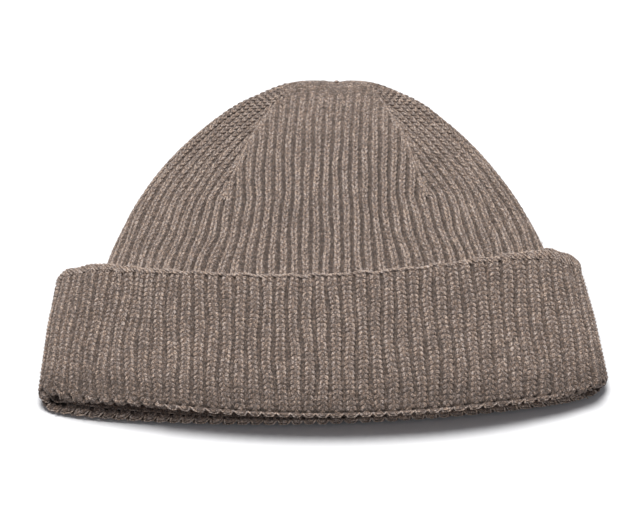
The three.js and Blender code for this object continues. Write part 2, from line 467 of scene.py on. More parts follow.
@dataclass(frozen=True)
class WoolFinish:
    """Heathered wool: darker and lighter fibres spun together, matt, with a soft sheen."""

    name: str
    # The deep tone is reached mostly where painted shade darkens the grooves.
    deep: tuple[float, float, float]
    dark: tuple[float, float, float]
    middle: tuple[float, float, float]
    light: tuple[float, float, float]
    fleck: float = 1.35
    streak: float = 1.0
    cloud: float = 0.15
    spread: float = 0.14
    # How far the "sunk" attribute darkens the colour, as painted shade.
    shadow: float = 0.4
    bump: float = 0.6
    sheen: float = 0.25
    sheen_roughness: float = 0.6
    sheen_tint: tuple[float, float, float] = (0.9, 0.82, 0.76)
    specular: float = 0.15
    roughness: tuple[float, float] = (0.82, 1.0)
    cloud_scale: float = 55.0
    streak_scale: float = 1.6
    fleck_scale: float = 1900.0
    hue_scale: float = 900.0
    yarn_step: tuple[float, float, float] = (37.0, 71.0, 53.0)
    stops: tuple[float, float, float, float] = (0.06, 0.26, 0.5, 0.8)
    cool: tuple[float, float, float] = (0.95, 1.0, 1.05)
    warm: tuple[float, float, float] = (1.05, 1.0, 0.93)
    relief: float = 0.25

    def material(self) -> bpy.types.Material:
        """The finish as a material, of nodes that read the yarn's own attributes and Object coordinates.

        Returns:
            The material.
        """
        made = bpy.data.materials.new(self.name)
        made.use_nodes = True
        tree = made.node_tree
        shader = tree.nodes["Principled BSDF"].inputs
        shader["Specular IOR Level"].default_value = self.specular
        shader["Sheen Weight"].default_value = self.sheen
        shader["Sheen Roughness"].default_value = self.sheen_roughness
        shader["Sheen Tint"].default_value = (*self.sheen_tint, 1)

        place = add_node(tree, "ShaderNodeTexCoord").outputs["Object"]
        shade, sunk = self.attribute(tree, "shade", "Fac"), self.attribute(tree, "sunk", "Fac")
        own = {0: shade, 1: self.yarn_step, 2: self.attribute(tree, "yarn", "Vector")}
        yarn = add_node(tree, "ShaderNodeVectorMath", own, operation="MULTIPLY_ADD").outputs["Vector"]
        streaks = self.noise(tree, yarn, self.streak_scale, 3)
        total = 0.5 - (self.cloud + self.spread + self.streak + self.fleck) / 2
        for value, weight in (
            (self.noise(tree, place, self.cloud_scale, 2), self.cloud),
            (shade, self.spread),
            (streaks, self.streak),
            (self.noise(tree, place, self.fleck_scale, 1), self.fleck),
        ):
            total = self.weighed(tree, value, weight, total)
        tones = (self.deep, self.dark, self.middle, self.light)
        # Painted shade: the "sunk" attribute darkens the colour in the grooves, the crease and the grains'
        # undersides.
        colour = self.ramp(tree, self.weighed(tree, sunk, -self.shadow, total), self.stops, tones)
        tint = self.ramp(tree, self.noise(tree, place, self.hue_scale, 1), (0.4, 0.6), (self.cool, self.warm))
        hue = add_node(tree, "ShaderNodeMix", {"Factor": 1.0}, data_type="RGBA", blend_type="MULTIPLY")
        for name, value in (("A", colour), ("B", tint)):
            tree.links.new(value, next(s for s in hue.inputs if s.name == name and s.type == "RGBA"))
        least, most = self.roughness
        rough = add_node(tree, "ShaderNodeMapRange", {"Value": streaks, "To Min": least, "To Max": most})
        relief = {"Strength": self.bump, "Distance": self.relief * MM, "Height": total}
        bump = add_node(tree, "ShaderNodeBump", relief)
        tree.links.new(next(s for s in hue.outputs if s.type == "RGBA"), shader["Base Color"])
        tree.links.new(rough.outputs["Result"], shader["Roughness"])
        tree.links.new(bump.outputs["Normal"], shader["Normal"])
        return made

    @staticmethod
    def attribute(tree: bpy.types.NodeTree, name: str, output: str) -> bpy.types.NodeSocket:
        """An attribute of the mesh, by its name, as the given output."""
        return add_node(tree, "ShaderNodeAttribute", attribute_name=name).outputs[output]

    @staticmethod
    def weighed(
        tree: bpy.types.NodeTree,
        value: bpy.types.NodeSocket,
        weight: float,
        onto: bpy.types.NodeSocket | float,
    ) -> bpy.types.NodeSocket:
        """A value times its weight, added onto another value."""
        parts = {0: value, 1: weight, 2: onto}
        return add_node(tree, "ShaderNodeMath", parts, operation="MULTIPLY_ADD").outputs[0]

    @staticmethod
    def noise(
        tree: bpy.types.NodeTree, vector: bpy.types.NodeSocket, scale: float, detail: float
    ) -> bpy.types.NodeSocket:
        """A noise from 0 to 1 over the given coordinates, at a scale and with a number of finer layers."""
        inputs = {"Scale": scale, "Detail": detail, "Vector": vector}
        return add_node(tree, "ShaderNodeTexNoise", inputs).outputs["Fac"]

    @staticmethod
    def ramp(
        tree: bpy.types.NodeTree,
        share: bpy.types.NodeSocket,
        stops: tuple[float, ...],
        tones: tuple[tuple[float, float, float], ...],
    ) -> bpy.types.NodeSocket:
        """A colour that runs through some tones.

        Args:
            tree: the material's node tree.
            share: how far along the ramp it is read.
            stops: where each tone stands, rising.
            tones: the tones.

        Returns:
            The colour.
        """
        node = add_node(tree, "ShaderNodeValToRGB", {"Fac": share})
        ends = node.color_ramp.elements
        ends[0].position, ends[0].color = stops[0], (*tones[0], 1)
        ends[1].position, ends[1].color = stops[-1], (*tones[-1], 1)
        for stop, tone in zip(stops[1:-1], tones[1:-1]):
            ends.new(stop).color = (*tone, 1)
        return node.outputs["Color"]


def linked(name: str, data: bpy.types.ID) -> bpy.types.Object:
    """A new object of the scene.

    Args:
        name: its name.
        data: its mesh, light or camera.

    Returns:
        The object.
    """
    made = bpy.data.objects.new(name, data)
    bpy.context.scene.collection.objects.link(made)
    return made


def mesh_object(
    name: str, points: np.ndarray, faces: list, attributes: dict[str, np.ndarray]
) -> bpy.types.Object:
    """A smooth-shaded mesh object at the origin.

    Args:
        name: the object's name.
        points: its corners, one row each.
        faces: its faces, as rows of corner numbers.
        attributes: what its corners carry, a value or a vector each.

    Returns:
        The object, linked to the scene.
    """
    mesh = bpy.data.meshes.new(name)
    mesh.from_pydata(points.tolist(), [], faces)
    mesh.polygons.foreach_set("use_smooth", [True] * len(mesh.polygons))
    for key, values in attributes.items():
        kind, label = ("FLOAT_VECTOR", "vector") if values.ndim == 2 else ("FLOAT", "value")
        made = mesh.attributes.new(key, kind, "POINT")
        made.data.foreach_set(label, values.astype(np.float32).ravel())
    return linked(name, mesh)


class Skin:
    """A closed skin that grows ring by ring, every ring with as many corners as the first."""

    def __init__(self, name: str) -> None:
        """Starts an empty skin.

        Args:
            name: the finished piece's name.
        """
        self.name = name
        self.rings: list[np.ndarray] = []
        self.yarn: list[np.ndarray] = []
        self.sunk: list[np.ndarray] = []

    def add(self, ring: np.ndarray, yarn: np.ndarray, sunk: np.ndarray) -> None:
        """Adds a ring.

        Args:
            ring: its corners.
            yarn: the coordinates of the wool's streaks there.
            sunk: how deep in the knit each corner lies, from 0 to 1, by which the wool is darkened as painted
                shade.
        """
        self.rings.append(ring)
        self.yarn.append(yarn)
        self.sunk.append(sunk)

    def build(self, looped: bool, weld: float = 0.015 * MM) -> bpy.types.Object:
        """Joins the rings and cleans the mesh.

        Args:
            looped: whether the last ring is joined to the first. If not, both are closed to a point.
            weld: how close corners lie that are one, in metres.

        Returns:
            The finished piece.
        """
        count, rings = len(self.rings[0]), len(self.rings)
        corner = np.arange(count)
        after = (corner + 1) % count
        points, yarn, sunk = np.vstack(self.rings), np.vstack(self.yarn), np.concatenate(self.sunk)
        faces = []
        for ring in range(rings if looped else rings - 1):
            low, high = ring * count, (ring + 1) % rings * count
            faces += np.column_stack([low + corner, high + corner, high + after, low + after]).tolist()
        if not looped:
            first, last, top = rings * count, rings * count + 1, (rings - 1) * count
            points = np.vstack([points, self.rings[0].mean(0), self.rings[-1].mean(0)])
            yarn = np.vstack([yarn, self.yarn[0].mean(0), self.yarn[-1].mean(0)])
            sunk = np.r_[sunk, self.sunk[0].mean(), self.sunk[-1].mean()]
            faces += np.column_stack([np.full(count, first), corner, after]).tolist()
            faces += np.column_stack([np.full(count, last), top + after, top + corner]).tolist()
        carried = {"yarn": yarn, "sunk": sunk, "shade": np.full(len(points), 0.5)}
        made = mesh_object(self.name, points, faces, carried)
        work = bmesh.new()
        work.from_mesh(made.data)
        bmesh.ops.remove_doubles(work, verts=work.verts, dist=weld)
        bmesh.ops.dissolve_degenerate(work, edges=work.edges, dist=weld)
        work.to_mesh(made.data)
        work.free()
        return made


@dataclass
class Stitches:
    """Grains of yarn that lie on the hat: where each is, which way it runs, its size and its tint."""

    place: list[np.ndarray] = field(default_factory=list)
    outward: list[np.ndarray] = field(default_factory=list)
    run: list[np.ndarray] = field(default_factory=list)
    size: list[np.ndarray] = field(default_factory=list)
    tint: list[np.ndarray] = field(default_factory=list)

    def add(
        self,
        place: np.ndarray,
        outward: np.ndarray,
        run: np.ndarray,
        size: np.ndarray,
        tint: float | np.ndarray,
    ) -> None:
        """Adds a batch of grains.

        Args:
            place: their middles, in metres.
            outward: their outward directions.
            run: the lines that they lie along.
            size: their width, length and thickness, in millimetres.
            tint: how much lighter they are than the rest, partly their own tone and partly painted shade and
                painted highlight.
        """
        self.place.append(place)
        self.outward.append(outward)
        self.run.append(run)
        self.size.append(np.broadcast_to(size, place.shape) * MM)
        self.tint.append(np.broadcast_to(tint, len(place)))

    def points_object(self, name: str, face: Face | None) -> bpy.types.Object:
        """The grains as bare points that carry their directions and sizes.

        Args:
            name: the object's name.
            face: the half of the hat whose grains are taken, or none for all.

        Returns:
            The points' object.
        """
        outward = np.vstack(self.outward)
        chosen = np.full(len(outward), True) if face is None else face.holds(outward)
        carried = {"outward": outward[chosen], "run": np.vstack(self.run)[chosen]}
        carried["size"] = np.vstack(self.size)[chosen]
        carried["tint"] = np.concatenate(self.tint)[chosen]
        return mesh_object(name, np.vstack(self.place)[chosen], [], carried)


class Face(Enum):
    """Which half of the hat a layer of stitches covers."""

    UPPER = "upper"
    LOWER = "lower"

    def holds(self, outward: np.ndarray) -> np.ndarray:
        """Whether each grain, by its outward direction, belongs to this half."""
        return outward[:, 2] >= 0 if self is Face.UPPER else outward[:, 2] < 0


@dataclass(frozen=True)
class YarnGrain:
    """One leg of a stitch as a short, bowed grain of yarn, one unit long, wide and thick."""

    sides: int = 6
    rings: int = 5
    bow: float = 0.13
    blunt: float = 2.6
    end: float = 0.4

    def build(self) -> bpy.types.Object:
        """The grain's mesh, which carries its own coordinates for the wool's streaks and its painted shade.

        Returns:
            The grain.
        """
        stations = np.linspace(-1, 1, self.rings)
        radius = np.maximum(self.end, (1 - np.abs(stations) ** self.blunt * 0.999) ** 0.5) / 2
        rise = self.bow * (1 - stations**2) - self.bow
        angle = np.arange(self.sides) * 2 * math.pi / self.sides
        rings = [
            np.column_stack([r * np.cos(angle), np.full(self.sides, s / 2), r * np.sin(angle) + z])
            for s, r, z in zip(stations, radius, rise)
        ]
        points = np.vstack(rings)
        faces = [tuple(range(self.sides)), tuple(range(len(points) - 1, len(points) - 1 - self.sides, -1))]
        for ring in range(self.rings - 1):
            low, high = ring * self.sides, (ring + 1) * self.sides
            for side in range(self.sides):
                after = (side + 1) % self.sides
                faces.append((low + side, high + side, high + after, low + after))
        yarn = points * (5.0, 1.6, 5.0)
        yarn[:, 0] += points[:, 1] * 3
        # Painted shade: "sunk" darkens the grain's flanks and underside, where it lies against the knit.
        sunk = np.clip(0.55 - 1.7 * points[:, 2], 0, 1.2)
        return mesh_object("grain", points, faces, {"yarn": yarn, "sunk": sunk})


@dataclass(frozen=True)
class Fibre:
    """A loose fibre as a thin bent sliver, one unit long and high, for the knit's fine fuzz."""

    bow: float = 4.0
    thin: float = 0.1

    def build(self) -> bpy.types.Object:
        """The fibre's mesh.

        Returns:
            The fibre.
        """
        angle = np.arange(3) * 2 * math.pi / 3
        points = [(0.0, -0.5, 0.0)]
        for station in (-0.33, 0.33):
            side = self.bow * (1 - station**2)
            points += [(side + np.cos(a) / 2, station / 2, 0.7 + self.thin * np.sin(a)) for a in angle]
        points.append((0.0, 0.5, 1.0))
        faces = [(0, 1 + side, 1 + (side + 1) % 3) for side in range(3)]
        faces += [(1 + side, 4 + side, 4 + (side + 1) % 3, 1 + (side + 1) % 3) for side in range(3)]
        faces += [(7, 4 + (side + 1) % 3, 4 + side) for side in range(3)]
        spots = np.array(points)
        return mesh_object("fibre", spots, faces, {"yarn": spots * 0.5, "sunk": np.zeros(len(spots))})


class GrainLayer:
    """Geometry nodes that lay a grain of yarn, or a fibre, on every point of an object."""

    def __init__(self) -> None:
        """Builds the tree once, for every layer."""
        self.tree = bpy.data.node_groups.new("lay_grains", "GeometryNodeTree")
        self.sockets: dict[str, str] = {}
        face = self.tree.interface
        for name, kind, default in (
            ("Geometry", "NodeSocketGeometry", None),
            ("Grain", "NodeSocketObject", None),
            ("Sway", "NodeSocketFloat", 0.06),
            ("Swell", "NodeSocketFloat", 0.07),
            ("Seed", "NodeSocketInt", 1),
            ("Finish", "NodeSocketMaterial", None),
        ):
            socket = face.new_socket(name, in_out="INPUT", socket_type=kind)
            if default is not None:
                socket.default_value = default
            self.sockets[name] = socket.identifier
        face.new_socket("Geometry", in_out="OUTPUT", socket_type="NodeSocketGeometry")
        self.wire()

    def named(self, name: str, kind: str = "FLOAT_VECTOR") -> bpy.types.NodeSocket:
        """A value of the given data type that the points carry."""
        node = add_node(self.tree, "GeometryNodeInputNamedAttribute", {"Name": name}, data_type=kind)
        return next(out for out in node.outputs if out.name == "Attribute" and out.enabled)

    def random(self, kind: str, seed: bpy.types.NodeSocket, salt: int) -> bpy.types.NodeSocket:
        """A seeded random value a point, from -1 to 1 for vectors and 0 to 1 for plain numbers.

        Args:
            kind: its data type.
            seed: the socket that gives the seed.
            salt: a number that sets this value apart from the others.

        Returns:
            The socket that gives it.
        """
        shifted = add_node(self.tree, "ShaderNodeMath", {0: seed, 1: salt}).outputs[0]
        inputs = {"Min": (-1, -1, -1)} if kind == "FLOAT_VECTOR" else {}
        node = add_node(self.tree, "FunctionNodeRandomValue", inputs | {"Seed": shifted}, data_type=kind)
        return next(out for out in node.outputs if out.enabled)

    def wire(self) -> None:
        """Joins the nodes: turn, size, lay, shade, realize and finish."""
        tree = self.tree
        given, outputs = tree.nodes.new("NodeGroupInput").outputs, tree.nodes.new("NodeGroupOutput")
        grain = add_node(tree, "GeometryNodeObjectInfo", {"Object": given["Grain"]})
        directions = {"Primary Axis": self.named("outward"), "Secondary Axis": self.named("run")}
        axes = add_node(
            tree, "FunctionNodeAxesToRotation", directions, primary_axis="Z", secondary_axis="Y"
        )
        sway, swell = (
            add_node(
                tree,
                "ShaderNodeVectorMath",
                {0: self.random("FLOAT_VECTOR", given["Seed"], salt), "Scale": given[name]},
                operation="SCALE",
            ).outputs["Vector"]
            for name, salt in (("Sway", 1), ("Swell", 2))
        )
        euler = add_node(tree, "FunctionNodeEulerToRotation", {0: sway}).outputs["Rotation"]
        turns = {"Rotation": axes.outputs["Rotation"], "Rotate By": euler}
        turned = add_node(tree, "FunctionNodeRotateRotation", turns, rotation_space="LOCAL")
        size = self.named("size")
        sizes = {0: swell, 1: size, 2: size}
        sized = add_node(tree, "ShaderNodeVectorMath", sizes, operation="MULTIPLY_ADD")
        laid = {
            "Points": given["Geometry"],
            "Instance": grain.outputs["Geometry"],
            "Rotation": turned.outputs["Rotation"],
            "Scale": sized.outputs["Vector"],
        }
        lay = add_node(tree, "GeometryNodeInstanceOnPoints", laid).outputs["Instances"]
        # Each grain's shade is a random tone plus its tint, which is partly its own tone and partly painted
        # light: painted shade towards the hem, painted highlights on the hem's rim and the knot.
        shades = {0: self.random("FLOAT", given["Seed"], 3), 1: self.named("tint", "FLOAT")}
        tinted = add_node(tree, "ShaderNodeMath", shades).outputs[0]
        stored = {"Name": "shade", "Geometry": lay}
        shade = add_node(
            tree, "GeometryNodeStoreNamedAttribute", stored, data_type="FLOAT", domain="INSTANCE"
        )
        tree.links.new(tinted, next(s for s in shade.inputs if s.name == "Value" and s.enabled))
        real = add_node(tree, "GeometryNodeRealizeInstances", {"Geometry": shade.outputs["Geometry"]})
        dressed = {"Geometry": real.outputs["Geometry"], "Material": given["Finish"]}
        finish = add_node(tree, "GeometryNodeSetMaterial", dressed)
        tree.links.new(finish.outputs["Geometry"], outputs.inputs["Geometry"])

    def dress(
        self,
        points: bpy.types.Object,
        grain: bpy.types.Object,
        name: str,
        finish: bpy.types.Material,
        seed: int,
    ) -> bpy.types.Object:
        """Lays the grains on the points and keeps them as one plain mesh.

        Args:
            points: the object whose points carry the grains. It is removed.
            grain: the object that is laid on them.
            name: the finished piece's name.
            finish: its material.
            seed: the seed of its small irregularities.

        Returns:
            The finished piece.
        """
        modifier = points.modifiers.new("grains", "NODES")
        modifier.node_group = self.tree
        modifier[self.sockets["Grain"]] = grain
        modifier[self.sockets["Finish"]] = finish
        modifier[self.sockets["Seed"]] = seed
        graph = bpy.context.evaluated_depsgraph_get()
        mesh = bpy.data.meshes.new_from_object(points.evaluated_get(graph), depsgraph=graph)
        mesh.name = name
        for key in ("outward", "run", "size", "tint"):
            if key in mesh.attributes:
                mesh.attributes.remove(mesh.attributes[key])
        points.modifiers.clear()
        bpy.data.objects.remove(points)
        spots = np.empty(len(mesh.vertices) * 3, np.float32)
        mesh.vertices.foreach_get("co", spots)
        spots[2::3] = np.maximum(spots[2::3], 0)
        mesh.vertices.foreach_set("co", spots)
        return linked(name, mesh)


@dataclass(frozen=True)
class Drift:
    """Ribs pushed aside over a part of the hat, most at one place and less all round it."""

    turn: float
    reach: float
    shift: float
    along: float
    fade: float

    def at(self, turn: np.ndarray, along: np.ndarray) -> np.ndarray:
        """How far the ribs are pushed.

        Args:
            turn: shares of the way round.
            along: places along the hat.

        Returns:
            The push at each, as a share of a turn.
        """
        off = np.abs(np.mod(turn - self.turn + 0.5, 1) - 0.5) / self.reach
        far = np.abs(along - self.along) / self.fade
        return self.shift * np.maximum(0, 1 - off**2) ** 2 * np.maximum(0, 1 - far**2) ** 2


@dataclass(frozen=True)
class Station:
    """A row of places round the hat: each one's place along, its turn, and its depth under the outline."""

    level: float
    along: np.ndarray
    turn: np.ndarray
    depth: np.ndarray

    @staticmethod
    def of(
        level: float, turn: np.ndarray, depth: float | np.ndarray, along: float | np.ndarray | None = None
    ) -> Station:
        """A station from single values or whole rows of them.

        Args:
            level: the place along the hat of the section that it belongs to.
            turn: the shares of the way round.
            depth: the depths under the outline.
            along: the places along the hat, or none for the level itself.

        Returns:
            The station.
        """
        along = level if along is None else along
        return Station(level, np.broadcast_to(along, turn.shape), turn, np.broadcast_to(depth, turn.shape))


@dataclass(frozen=True)
class Leg:
    """How the legs of a column of stitches are laid, in millimetres and radians."""

    pitch: float
    width: float
    length: float
    thickness: float
    lean: float
    tint: float = 0.0


@dataclass
class Columns:
    """Columns of places over the hat, along which the legs of the stitches are laid."""

    path: np.ndarray
    around: np.ndarray
    signs: np.ndarray
    widths: np.ndarray
    painted_shades: np.ndarray
    tilt: float = 0.4
    bend_room: float = 2.6

    def stitch(self, column: int, span: slice, leg: Leg, count: int | None, onto: Stitches) -> None:
        """Lays one leg a stitch along a column.

        Args:
            column: the column's number.
            span: the part of it that is stitched.
            leg: how the legs are laid.
            count: how many legs share the span evenly, or none to keep to the leg's pitch.
            onto: the stitches that they are added to.
        """
        path, around = self.path[span, column], self.around[span, column]
        if len(path) < 3:
            return
        forward = unit(np.gradient(path, axis=0))
        aside = around * self.signs[column]
        outward = np.cross(forward, around) * math.cos(self.tilt) + aside * math.sin(self.tilt)
        run = np.r_[0, np.cumsum(np.linalg.norm(np.diff(path, axis=0), axis=1))] / MM
        pitch = leg.pitch if count is None else run[-1] / count
        count = int(run[-1] / pitch) if count is None else count
        if count < 1:
            return
        at = (np.arange(count) + 0.5) * pitch
        turning = np.linalg.norm(np.gradient(forward, run, axis=0), axis=1)
        bend = np.maximum(1e-6, np.interp(at, run, turning))
        length = np.minimum(leg.length, np.sqrt(self.bend_room / bend))
        place, outward, aside, forward = (
            np.column_stack([np.interp(at, run, part) for part in rows.T])
            for rows in (path, outward, aside, forward)
        )
        line = unit(forward) * math.cos(leg.lean) + aside * math.sin(leg.lean)
        width = np.interp(at, run, self.widths[span]) * leg.width
        size = np.column_stack([width, length, np.full(count, leg.thickness)])
        # The leg's own tint plus the painted shade at its station.
        tint = leg.tint + np.interp(at, run, self.painted_shades[span])
        onto.add(place, unit(outward), unit(line), size, tint)


@dataclass
class Knit:
    """A tube of rib knit on the hat's form: where its ribs run, and what is laid along and across them."""

    form: HatForm
    drifts: tuple[Drift, ...] = ()
    wander: float = 0.0008
    waves: tuple[tuple[float, float, float], ...] = ((1.0, 9, 62), (0.7, 17, -37), (0.4, 31, 23))
    columns: int = 8
    strand: float = 0.35

    def section(self, level: float) -> Section:
        """The tube's outer cross-section at a place along the hat."""
        raise NotImplementedError

    def place(self, station: Station) -> np.ndarray:
        """The places of a station in the frame, with the ribs wandering a little as they do in real knitting.

        Args:
            station: the places on the straight hat.

        Returns:
            One row of x, y and z each, in metres.
        """
        turn, along = station.turn, station.along
        waves = sum(
            share * np.sin(2 * math.pi * (often * turn + along / length))
            for share, often, length in self.waves
        )
        moved = turn + self.wander * waves + sum(drift.at(turn, along) for drift in self.drifts)
        return self.form.points(self.section(station.level), along, moved, station.depth)

    def columns_of(
        self, stations: list[Station], signs: np.ndarray, widths: np.ndarray, painted_shades: np.ndarray
    ) -> Columns:
        """Columns of places through a list of stations.

        Args:
            stations: the stations, from one end of the columns to the other.
            signs: the side of its rib that each column is on, as -1 or 1, or 0 for its middle.
            widths: the ribs' width at each station, in millimetres.
            painted_shades: how much lighter the yarn is at each station, below 0 as painted shade.

        Returns:
            The columns.
        """
        probe = 0.0015
        around = [
            self.place(replace(s, turn=s.turn + probe)) - self.place(replace(s, turn=s.turn - probe))
            for s in stations
        ]
        path = np.array([self.place(s) for s in stations])
        return Columns(path, unit(np.array(around)), signs, widths, painted_shades)

    def directions(self, station: Station) -> tuple[np.ndarray, np.ndarray, np.ndarray]:
        """The places of a station, and which way the hat's face runs there.

        Args:
            station: the places on the straight hat.

        Returns:
            The places, and short steps from them round the hat and along it.
        """
        here = self.place(station)
        around = self.place(replace(station, turn=station.turn + 0.001)) - here
        return here, around, self.place(replace(station, along=station.along + 0.5)) - here

    def chain(
        self, spots: list[Station], raised: list[Station], size: float, tint: float, onto: Stitches
    ) -> None:
        """Lays a bent strand of grains from each station to the next.

        Args:
            spots: the strand's places.
            raised: the same places, lifted off the hat.
            size: the strand's thickness, in millimetres.
            tint: how much lighter it is than the rest.
            onto: the stitches that the grains are added to.
        """
        path = np.array([self.place(s) for s in spots])
        lifted = np.array([self.place(s) for s in raised]) - path
        run = np.diff(path, axis=0).reshape(-1, 3)
        length = np.linalg.norm(run, axis=1) / MM
        grains = np.column_stack([np.full(len(run), size), length * 1.4, np.full(len(run), size * 0.9)])
        middle = (path[1:] + path[:-1]).reshape(-1, 3) / 2
        onto.add(middle, unit((lifted[1:] + lifted[:-1]).reshape(-1, 3)), unit(run), grains, tint)

    def fuzz(self, levels: np.ndarray, density: float, seed: int) -> Stitches:
        """Loose fibres that stand off the knit's face.

        Args:
            levels: places along the hat, evenly over its surface.
            density: how many fibres there are on a square millimetre.
            seed: the seed of their places.

        Returns:
            The fibres.
        """
        chance = np.random.default_rng(seed)
        fibres = Stitches()
        for level, spacing in zip(levels, np.gradient(levels)):
            section = self.section(level)
            count = round(density * spacing * (section.left + section.right) * 2)
            in_front = chance.random(count) < 0.75
            turn = np.where(in_front, chance.uniform(-0.03, 0.53, count), chance.random(count))
            along = level + chance.uniform(-0.5, 0.5, count) * spacing
            station = Station.of(level, turn, chance.uniform(0.1, 0.9, count), along)
            here, around, upward = self.directions(station)
            angle = chance.uniform(0, 2 * math.pi, (count, 1))
            run = unit(around) * np.cos(angle) + unit(upward) * np.sin(angle)
            length, height = chance.uniform(1.0, 3.0, count), chance.uniform(0.1, 0.55, count)
            size = np.column_stack([np.full(count, 0.1), length, height])
            outward = unit(np.cross(upward, around))
            fibres.add(here, outward, run, size, chance.uniform(-0.3, 0.8, count))
        return fibres


@dataclass
class Crown(Knit):
    """The crown and the band that carries on from it inside the cuff."""

    drifts: tuple[Drift, ...] = (
        Drift(turn=0.39, reach=0.08, shift=0.011, along=71, fade=26),
        Drift(turn=0.13, reach=0.08, shift=-0.009, along=71, fade=26),
    )
    groove: float = 1.4
    side_groove: float = 2.2
    crest: float = 0.8
    ring_step: float = 2.2
    visible_from: float = 68.0
    hem: float = 3.25
    hidden_step: float = 6.0
    seam: Fade = Fade(1.0, 116, 126)
    seam_room: float = 0.32
    ridge_width: float = 0.7
    inner_top: float = 195.0
    side: float = 0.155
    top_row: float = 199.5
    sinking: Fade = Fade(1.1, 180, 200)
    crest_rise: Fade = Fade(0.1, 125, 170)
    crest_gather: Fade = Fade(0.4, 186, 202)
    shallow: Fade = Fade(0.6, 140, 188)
    smooth: Fade = Fade(1.0, 125, 175)
    smooth_by_gore: tuple[float, float] = (0.3, 0.12)
    # How much the painted groove shade fades out at the top.
    top_shade_fade: Fade = Fade(0.4, 190, 200)
    dimple: float = 6.4
    dimple_width: float = 3.0
    dimple_depth: float = 2.2
    dimpled: Fade = Fade(1.0, 190, 199)
    leg: Leg = Leg(pitch=3.1, width=0.335, length=5.0, thickness=1.3, lean=0.24)
    side_leg: Leg = Leg(pitch=3.1, width=0.35, length=5.2, thickness=1.4, lean=0.14)
    seam_leg: Leg = Leg(pitch=2.6, width=0.34, length=3.6, thickness=1.2, lean=0.1, tint=0.15)

    def section(self, level: float) -> Section:
        """The crown's outer cross-section at a place along the hat."""
        return self.form.crown_section(level)

    def place(self, station: Station) -> np.ndarray:
        """The places of a station, with the dimple where the top is drawn together.

        Args:
            station: the places on the straight hat.

        Returns:
            One row of x, y and z each, in metres.
        """
        points = super().place(station)
        off = (points[:, 0] / MM - self.dimple) / self.dimple_width
        rise = np.clip((points[:, 2] / MM - 6) / 6, 0, 1)
        points[:, 2] -= self.dimple_depth * MM * np.exp(-(off**2)) * rise * self.dimpled.at(station.level)
        return points

    def ribs(self, along: float | np.ndarray) -> np.ndarray:
        """How many ribs a gore has at a place along the hat, as a number that falls steadily."""
        table = self.form.crown
        return np.interp(along, table.along, table.columns["ribs"])

    def ring_places(self, first: float, last: float, step: float) -> np.ndarray:
        """Places along the hat whose rings lie evenly on its surface.

        Args:
            first: the first place.
            last: the last place.
            step: how far apart the rings lie on the surface.

        Returns:
            The places.
        """
        fine = np.linspace(first, last, 2000)
        across = self.form.crown.read("left", fine) + self.form.crown.read("right", fine)
        run = np.r_[0, np.cumsum(np.hypot(np.diff(fine), np.diff(across) / 2))]
        return np.interp(np.linspace(0, run[-1], max(2, round(run[-1] / step))), run, fine)

    def crest_depth(self, along: float) -> float:
        """How far the ribs' crests lie under the outline, which is less at the gathered top."""
        return self.crest - self.crest_rise.at(along) - self.crest_gather.at(along)

    def face_depth(self, phase: np.ndarray, along: float, groove: float) -> np.ndarray:
        """The depth of the ribbed face, with the line between two gores standing up as a thin ridge.

        Args:
            phase: the places across a gore's ribs.
            along: the place along the hat.
            groove: how deep the grooves are where the crown is widest.

        Returns:
            The depth under the crests.
        """
        groove = groove * (1 - self.shallow.at(along))
        from_line = float(self.ribs(along)) / 2 - np.abs(phase)
        fade = self.seam.at(along)
        ridge = rib_depth(np.clip(from_line, 0, 0.5), groove, self.ridge_width)
        line = groove * (1 - fade) + ridge * fade
        return np.minimum(rib_depth(phase, groove), np.where(from_line < 0.5, line, groove))

    def shell(self) -> bpy.types.Object:
        """The crown's wall, hollow, from the gathered top down its inside to the hem and up its outside.

        Returns:
            The finished piece.
        """
        half = FULL_GORE / 2
        phases = np.linspace(-half, half, FULL_GORE * self.columns + 1)[:-1]
        skin = Skin("crown_skin")

        def add(along: float, outer: bool) -> None:
            """Adds a ring of the outer or the inner face.

            Args:
                along: the place along the hat.
                outer: whether it is the outer face.
            """
            ribs = float(self.ribs(along))
            clamped = np.clip(phases, -ribs / 2, ribs / 2)
            turn = round_gores(clamped / ribs)
            if outer:
                grooves = (self.side_groove, self.groove) * (GORES // 2)
                face = np.concatenate([self.face_depth(clamped, along, groove) for groove in grooves])
                limit = 0.3 * float(self.form.crown.read("fold", along))
                deep = np.minimum(limit, self.crest_depth(along) + face)
                # Painted shade: "sunk" darkens the grooves, less on some gores, less and less from the
                # crown's middle up, and hardly at all at the top.
                smooth = np.repeat(self.smooth_by_gore * (GORES // 2), len(phases)) * self.smooth.at(along)
                fade = smooth + self.top_shade_fade.at(along)
                sunk = (0.45 + 0.55 * np.clip(face / self.groove, 0, 1)) * (1 - fade)
            else:
                deep = np.tile(self.form.wall + 0.25 - 0.3 * rib_depth(clamped + 0.5, 1.0), GORES)
                sunk = np.full(len(turn), 0.4)
            yarn = np.column_stack([np.tile(phases, GORES), np.full(len(turn), along / 2.6), deep])
            skin.add(self.place(Station.of(along, turn, deep)), yarn, sunk)

        for along in self.ring_places(self.hem, self.inner_top, self.hidden_step)[::-1]:
            add(along, outer=False)
        for along in self.ring_places(self.hem, self.visible_from, self.hidden_step)[:-1]:
            add(along, outer=True)
        for along in self.ring_places(self.visible_from, self.form.length, self.ring_step):
            add(along, outer=True)
        return skin.build(looped=False)

